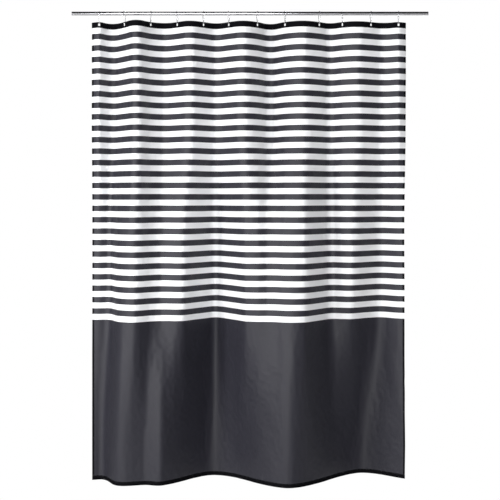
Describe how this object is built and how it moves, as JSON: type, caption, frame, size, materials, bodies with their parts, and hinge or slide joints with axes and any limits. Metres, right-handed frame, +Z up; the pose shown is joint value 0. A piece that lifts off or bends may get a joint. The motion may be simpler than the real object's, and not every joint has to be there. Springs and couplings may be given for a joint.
{
  "type": "shower curtain",
  "caption": "Striped cloth shower curtain hung by wire rings on a straight round rod; the rings slide along the rod to gather the cloth, and the cloth swings about the rod.",
  "frame": {"origin": "centre of the rod's left end face", "axes": "+X along the rod to its right end, +Z up, the front of the cloth faces -Y"},
  "size_m": [1.555, 0.3005, 2.0479],
  "materials": {
    "rod_steel": "polished stainless steel",
    "ring_steel": "polished steel wire",
    "plug_plastic": "grey moulded plastic",
    "curtain_cloth": "plain-weave polyester, charcoal and white bands",
    "hem_cloth": "folded double cloth, stitched"
  },
  "bodies": {
    "rod": {"rod_tube": "rod_steel", "rod_end_plug_left": "plug_plastic", "rod_end_plug_right": "plug_plastic"},
    "curtain": {"curtain_panel": "curtain_cloth", "top_hem": "hem_cloth", "bottom_hem": "hem_cloth", "left_side_hem": "hem_cloth", "right_side_hem": "hem_cloth"},
    "ring_01": {"ring_01": "ring_steel"},
    "ring_02": {"ring_02": "ring_steel"},
    "ring_03": {"ring_03": "ring_steel"},
    "ring_04": {"ring_04": "ring_steel"},
    "ring_05": {"ring_05": "ring_steel"},
    "ring_06": {"ring_06": "ring_steel"},
    "ring_07": {"ring_07": "ring_steel"},
    "ring_08": {"ring_08": "ring_steel"},
    "ring_09": {"ring_09": "ring_steel"},
    "ring_10": {"ring_10": "ring_steel"},
    "ring_11": {"ring_11": "ring_steel"},
    "ring_12": {"ring_12": "ring_steel"}
  },
  "joints": [
    {"name": "curtain_swing", "type": "hinge", "parent": "rod", "child": "curtain", "pos_m": [0, 0, 0], "axis": [1, 0, 0], "range_deg": [-20, 20]},
    {"name": "draw", "type": "slide", "parent": "curtain", "child": "ring_12", "axis": [-1, 0, 0], "range_m": [0, 0.737], "deforming": ["curtain_panel", "top_hem", "bottom_hem", "left_side_hem", "right_side_hem"]},
    {"name": "ring_01_slide", "type": "slide", "parent": "curtain", "child": "ring_01", "axis": [-1, 0, 0], "range_m": [0, 0.01926]},
    {"name": "ring_02_slide", "type": "slide", "parent": "curtain", "child": "ring_02", "axis": [-1, 0, 0], "range_m": [0, 0.07976]},
    {"name": "ring_03_slide", "type": "slide", "parent": "curtain", "child": "ring_03", "axis": [-1, 0, 0], "range_m": [0, 0.14301]},
    {"name": "ring_04_slide", "type": "slide", "parent": "curtain", "child": "ring_04", "axis": [-1, 0, 0], "range_m": [0, 0.20626]},
    {"name": "ring_05_slide", "type": "slide", "parent": "curtain", "child": "ring_05", "axis": [-1, 0, 0], "range_m": [0, 0.26951]},
    {"name": "ring_06_slide", "type": "slide", "parent": "curtain", "child": "ring_06", "axis": [-1, 0, 0], "range_m": [0, 0.33001]},
    {"name": "ring_07_slide", "type": "slide", "parent": "curtain", "child": "ring_07", "axis": [-1, 0, 0], "range_m": [0, 0.39876]},
    {"name": "ring_08_slide", "type": "slide", "parent": "curtain", "child": "ring_08", "axis": [-1, 0, 0], "range_m": [0, 0.46476]},
    {"name": "ring_09_slide", "type": "slide", "parent": "curtain", "child": "ring_09", "axis": [-1, 0, 0], "range_m": [0, 0.54726]},
    {"name": "ring_10_slide", "type": "slide", "parent": "curtain", "child": "ring_10", "axis": [-1, 0, 0], "range_m": [0, 0.60226]},
    {"name": "ring_11_slide", "type": "slide", "parent": "curtain", "child": "ring_11", "axis": [-1, 0, 0], "range_m": [0, 0.67101]}
  ],
  "couplings": [
    {"joint": "ring_01_slide", "follows": "draw", "ratio": 0.026119},
    {"joint": "ring_02_slide", "follows": "draw", "ratio": 0.10821},
    {"joint": "ring_03_slide", "follows": "draw", "ratio": 0.19403},
    {"joint": "ring_04_slide", "follows": "draw", "ratio": 0.27985},
    {"joint": "ring_05_slide", "follows": "draw", "ratio": 0.36567},
    {"joint": "ring_06_slide", "follows": "draw", "ratio": 0.44776},
    {"joint": "ring_07_slide", "follows": "draw", "ratio": 0.54104},
    {"joint": "ring_08_slide", "follows": "draw", "ratio": 0.6306},
    {"joint": "ring_09_slide", "follows": "draw", "ratio": 0.74254},
    {"joint": "ring_10_slide", "follows": "draw", "ratio": 0.81716},
    {"joint": "ring_11_slide", "follows": "draw", "ratio": 0.91045}
  ]
}
